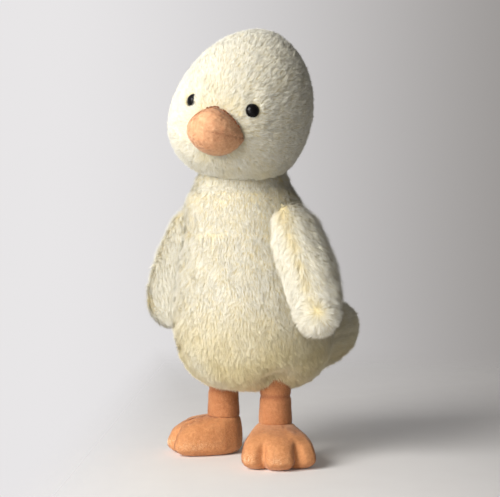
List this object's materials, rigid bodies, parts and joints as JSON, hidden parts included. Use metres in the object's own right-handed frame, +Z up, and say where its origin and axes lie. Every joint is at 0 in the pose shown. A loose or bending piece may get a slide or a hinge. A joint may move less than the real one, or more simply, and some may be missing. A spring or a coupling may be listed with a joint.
{
  "type": "plush duck",
  "caption": "Standing cream plush duck with peach velour beak, legs and toed feet; head turns, leans and nods, wings lift, legs swing.",
  "frame": {"origin": "on the floor, at the bottom centre of the duck's bounding box", "axes": "+Z up; the breast faces -Y; +X is the duck's own left side"},
  "size_m": [0.177, 0.2008, 0.3035],
  "materials": {
    "cream_plush": "long cream pile, lying, matte",
    "yoke_plush": "shorter cream pile, matte",
    "peach_velour": "peach velour with a fine nap",
    "fibre_filling": "white fibre filling, matte",
    "pellet_filling": "fine plastic pellets in a pouch",
    "eye_bead": "polished black dome",
    "washer_plastic": "plain moulded plastic"
  },
  "bodies": {
    "torso": {"body_base_panel": "cream_plush", "body_front_panel": "cream_plush", "body_left_panel": "cream_plush", "body_right_panel": "cream_plush", "yoke_front": "yoke_plush", "yoke_back": "yoke_plush", "body_stuffing": "fibre_filling", "bean_pouch": "pellet_filling", "tail_upper_panel": "cream_plush", "tail_lower_panel": "cream_plush", "tail_stuffing": "fibre_filling"},
    "neck_collar": {"neck_collar": "yoke_plush"},
    "neck_ball": {"neck_stuffing": "fibre_filling"},
    "head": {"head_left_panel": "cream_plush", "head_right_panel": "cream_plush", "head_crown_gusset": "cream_plush", "head_chin_panel": "cream_plush", "head_stuffing": "fibre_filling", "beak_upper_panel": "peach_velour", "beak_lower_panel": "peach_velour", "beak_stuffing": "fibre_filling", "eye_left": "eye_bead", "eye_right": "eye_bead", "eye_washer_left": "washer_plastic", "eye_washer_right": "washer_plastic"},
    "wing_left": {"wing_left_outer_panel": "cream_plush", "wing_left_inner_panel": "cream_plush", "wing_left_stuffing": "fibre_filling"},
    "wing_right": {"wing_right_outer_panel": "cream_plush", "wing_right_inner_panel": "cream_plush", "wing_right_stuffing": "fibre_filling"},
    "leg_left": {"leg_left_tube": "peach_velour", "leg_left_stuffing": "fibre_filling", "foot_left_upper": "peach_velour", "foot_left_sole": "peach_velour", "foot_left_pellets": "pellet_filling"},
    "leg_right": {"leg_right_tube": "peach_velour", "leg_right_stuffing": "fibre_filling", "foot_right_upper": "peach_velour", "foot_right_sole": "peach_velour", "foot_right_pellets": "pellet_filling"}
  },
  "joints": [
    {"name": "neck_turn", "type": "hinge", "parent": "torso", "child": "neck_collar", "pos_m": [0, -0.0235, 0.201], "axis": [0, 0, 1], "range_deg": [-70, 30]},
    {"name": "neck_tilt", "type": "hinge", "parent": "neck_collar", "child": "neck_ball", "pos_m": [0, -0.0235, 0.201], "axis": [-0.3907, 0.9205, 0], "range_deg": [-22, 4]},
    {"name": "head_nod", "type": "hinge", "parent": "neck_ball", "child": "head", "pos_m": [0, -0.0235, 0.201], "axis": [0.9036, 0.3836, -0.1908], "range_deg": [-16, 4]},
    {"name": "wing_left_lift", "type": "hinge", "parent": "torso", "child": "wing_left", "pos_m": [0.04244, -0.02419, 0.1823], "axis": [0, -1, 0], "range_deg": [0, 65]},
    {"name": "wing_right_lift", "type": "hinge", "parent": "torso", "child": "wing_right", "pos_m": [-0.04244, -0.02419, 0.1823], "axis": [0, 1, 0], "range_deg": [0, 65]},
    {"name": "hip_left", "type": "hinge", "parent": "torso", "child": "leg_left", "pos_m": [0.03388, -0.02409, 0.05177], "axis": [-0.6691, -0.7431, 0], "range_deg": [0, 85]},
    {"name": "hip_right", "type": "hinge", "parent": "torso", "child": "leg_right", "pos_m": [-0.03388, -0.02409, 0.05177], "axis": [-0.6691, 0.7431, 0], "range_deg": [0, 85]}
  ]
}
